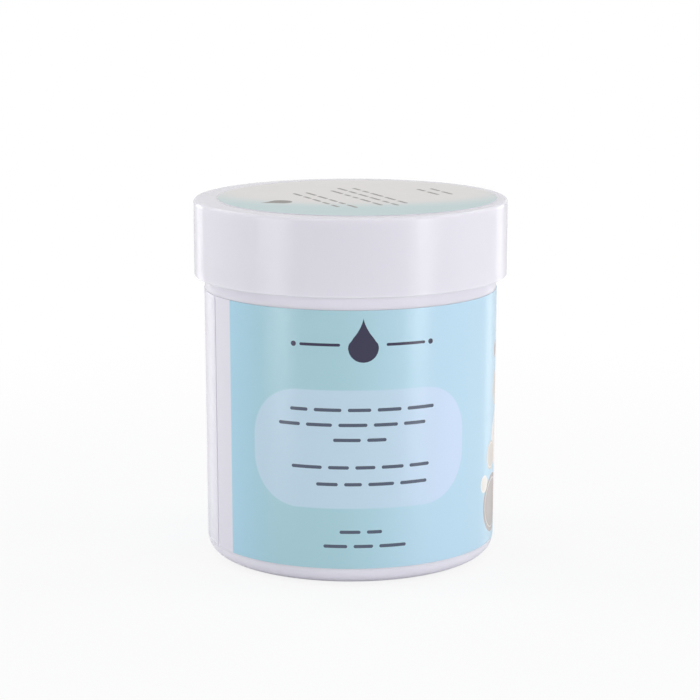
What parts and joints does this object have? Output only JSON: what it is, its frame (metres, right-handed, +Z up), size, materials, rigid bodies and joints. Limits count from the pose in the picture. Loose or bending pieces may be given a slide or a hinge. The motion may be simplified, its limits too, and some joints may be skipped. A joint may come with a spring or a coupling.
{
  "type": "cosmetic pad jar",
  "caption": "Round white wide-mouth jar with a deep screw lid, foam seal, blue wrap label and lid sticker, holding a stack of soaked round remover pads.",
  "frame": {"origin": "centre of the standing ring under the jar", "axes": "+Z up along the jar's axis, -Y towards the front of the label"},
  "size_m": [0.066, 0.066, 0.0761],
  "materials": {
    "jar_white": "glossy injection-moulded polypropylene, white with a faint cool tint",
    "lid_white": "glossy injection-moulded polypropylene, white with a faint cool tint",
    "label_film": "printed aqua-blue film, semi-gloss",
    "sticker_film": "printed pale aqua film, semi-gloss",
    "seal_foam": "closed-cell white foam",
    "pad_fibre": "soft pressed fibre, damp"
  },
  "bodies": {
    "jar": {"jar_body": "jar_white", "wrap_label": "label_film", "pad_01": "pad_fibre", "pad_02": "pad_fibre", "pad_03": "pad_fibre", "pad_04": "pad_fibre", "pad_05": "pad_fibre", "pad_06": "pad_fibre", "pad_07": "pad_fibre", "pad_08": "pad_fibre", "pad_09": "pad_fibre", "pad_10": "pad_fibre", "pad_11": "pad_fibre", "pad_12": "pad_fibre", "pad_13": "pad_fibre", "pad_14": "pad_fibre", "pad_15": "pad_fibre", "pad_16": "pad_fibre", "pad_17": "pad_fibre", "pad_18": "pad_fibre", "pad_19": "pad_fibre", "pad_20": "pad_fibre", "pad_21": "pad_fibre", "pad_22": "pad_fibre", "pad_23": "pad_fibre", "pad_24": "pad_fibre", "pad_25": "pad_fibre", "pad_26": "pad_fibre", "pad_27": "pad_fibre", "pad_28": "pad_fibre", "pad_29": "pad_fibre", "pad_30": "pad_fibre"},
    "liner": {"lid_liner": "seal_foam"},
    "lid": {"lid_shell": "lid_white", "lid_label": "sticker_film"}
  },
  "joints": [
    {"name": "lid_rise", "type": "slide", "parent": "jar", "child": "liner", "axis": [0, 0, 1], "range_m": [0, 0.045]},
    {"name": "lid_turn", "type": "hinge", "parent": "liner", "child": "lid", "pos_m": [0, 0, 0.0681], "axis": [0, 0, 1], "range_deg": [0, 1800]}
  ],
  "couplings": [
    {"joint": "lid_rise", "follows": "lid_turn", "m_per_rad": 0.0014324}
  ]
}
